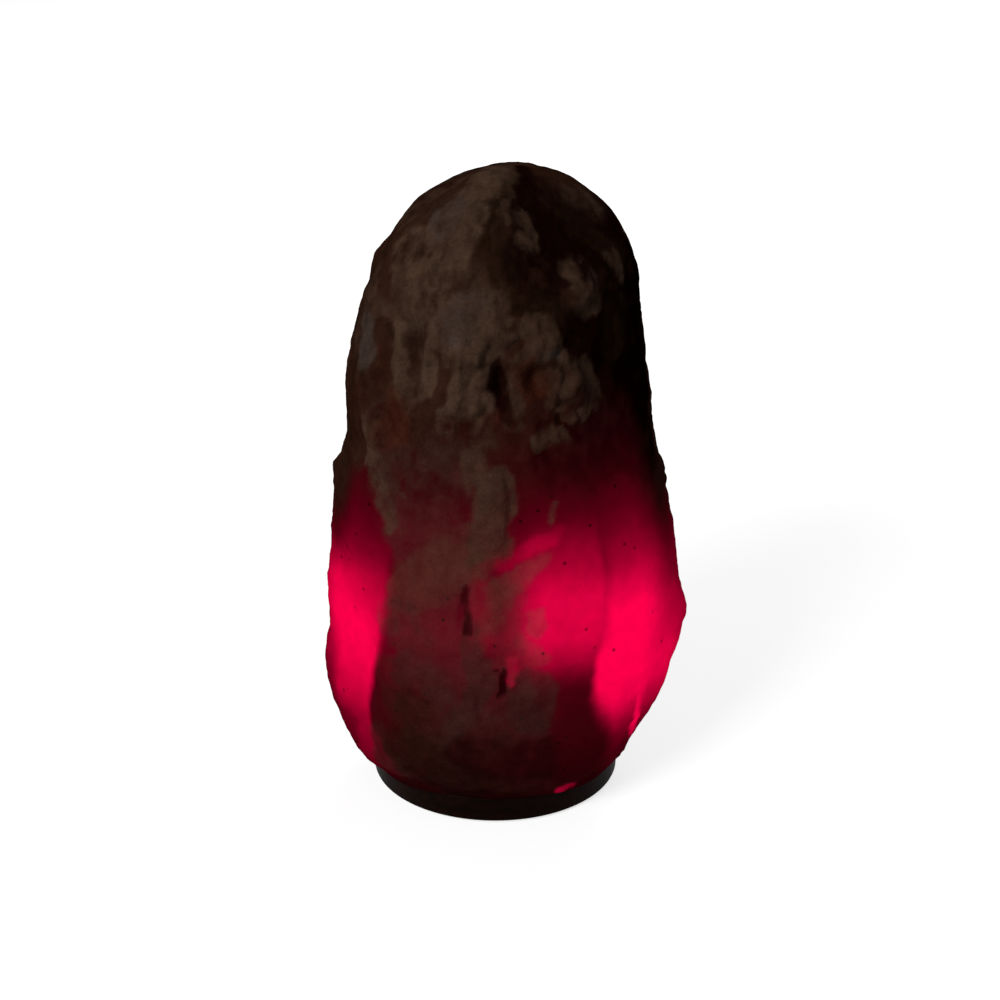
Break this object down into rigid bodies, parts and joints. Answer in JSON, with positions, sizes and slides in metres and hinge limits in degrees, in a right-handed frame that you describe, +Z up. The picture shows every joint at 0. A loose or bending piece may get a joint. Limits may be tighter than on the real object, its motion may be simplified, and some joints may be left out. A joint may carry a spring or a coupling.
{
  "type": "salt crystal lamp",
  "caption": "Salt crystal lamp: rough-hewn rock salt screwed to a turned wooden base, lit from a drilled bore by a clip-in lampholder with a small screw-in LED bulb.",
  "frame": {"origin": "centre of the wooden base, on the table plane under the felt ring", "axes": "+Z up along the bore and the bulb; -Y towards the front seen in the picture, +X to the right"},
  "size_m": [0.1463, 0.1263, 0.2532],
  "materials": {
    "rock_salt": "rough-hewn, dull, lit from inside",
    "stained_wood": "dark stained, satin",
    "felt": "felt",
    "plated_steel": "zinc plated",
    "nylon": "natural nylon",
    "black_thermoplastic": "moulded, satin",
    "black_nylon": "moulded",
    "steatite": "unglazed",
    "brass_sheet": "stamped",
    "spring_steel": "nickel plated strip",
    "solder": "solder, satin",
    "black_glass": "black, glossy",
    "nickel_plate": "nickel plated",
    "white_plastic": "moulded, semi-gloss",
    "frosted_plastic": "frosted, glowing",
    "circuit_board": "solder mask",
    "led_package": "moulded"
  },
  "bodies": {
    "lamp": {"salt_crystal": "rock_salt", "wooden_base": "stained_wood", "felt_ring": "felt", "base_screws": "plated_steel", "screw_plugs": "nylon"},
    "lampholder": {"holder_cap": "black_thermoplastic", "cord_gland": "black_nylon", "gland_screw": "plated_steel", "holder_shell": "black_thermoplastic", "contact_carrier": "steatite", "thread_sleeve": "brass_sheet", "centre_contact": "brass_sheet", "terminal_screws": "brass_sheet", "spring_clip": "spring_steel", "clip_ring_nut": "black_thermoplastic"},
    "bulb_foot": {"foot_contact": "solder", "cap_insulator": "black_glass"},
    "bulb": {"bulb_cap": "nickel_plate", "bulb_collar": "white_plastic", "bulb_dome": "frosted_plastic", "led_board": "circuit_board", "led_chips": "led_package", "driver_board": "circuit_board"}
  },
  "joints": [
    {"name": "holder_pull", "type": "slide", "parent": "lamp", "child": "lampholder", "axis": [0, 0, -1], "range_m": [0, 0.1]},
    {"name": "bulb_rise", "type": "slide", "parent": "lampholder", "child": "bulb_foot", "axis": [0, 0, 1], "range_m": [0, 0.0142]},
    {"name": "bulb_turn", "type": "hinge", "parent": "bulb_foot", "child": "bulb", "pos_m": [0, 0, 0.035], "axis": [0, 0, 1], "range_deg": [0, 1800]}
  ],
  "couplings": [
    {"joint": "bulb_rise", "follows": "bulb_turn", "m_per_rad": 0.0004488}
  ]
}
